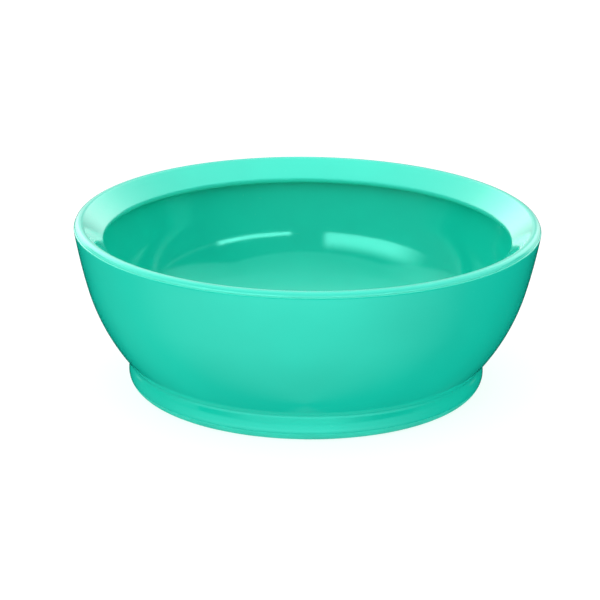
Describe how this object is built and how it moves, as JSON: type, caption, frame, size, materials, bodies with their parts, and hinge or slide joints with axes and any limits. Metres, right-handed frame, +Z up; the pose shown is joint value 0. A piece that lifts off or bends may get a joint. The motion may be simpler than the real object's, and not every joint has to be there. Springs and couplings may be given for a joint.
{
  "type": "bowl",
  "caption": "Low round plastic bowl with a funnel-shaped anti-spill lip over the inside, a footed base and a soft non-slip ring under the foot.",
  "frame": {"origin": "centre of the circle that the bowl stands on, on the table plane", "axes": "+Z up along the bowl's axis of revolution; +X and +Y are free, because the bowl is round"},
  "size_m": [0.1648, 0.1648, 0.06],
  "materials": {
    "shell": "glossy teal moulded plastic",
    "lip": "glossy teal moulded plastic, the same as the shell",
    "soft_ring": "soft satin teal elastomer"
  },
  "bodies": {
    "root": {"bowl_body": "shell", "lip_ring": "lip", "non_slip_ring": "soft_ring"}
  },
  "joints": []
}
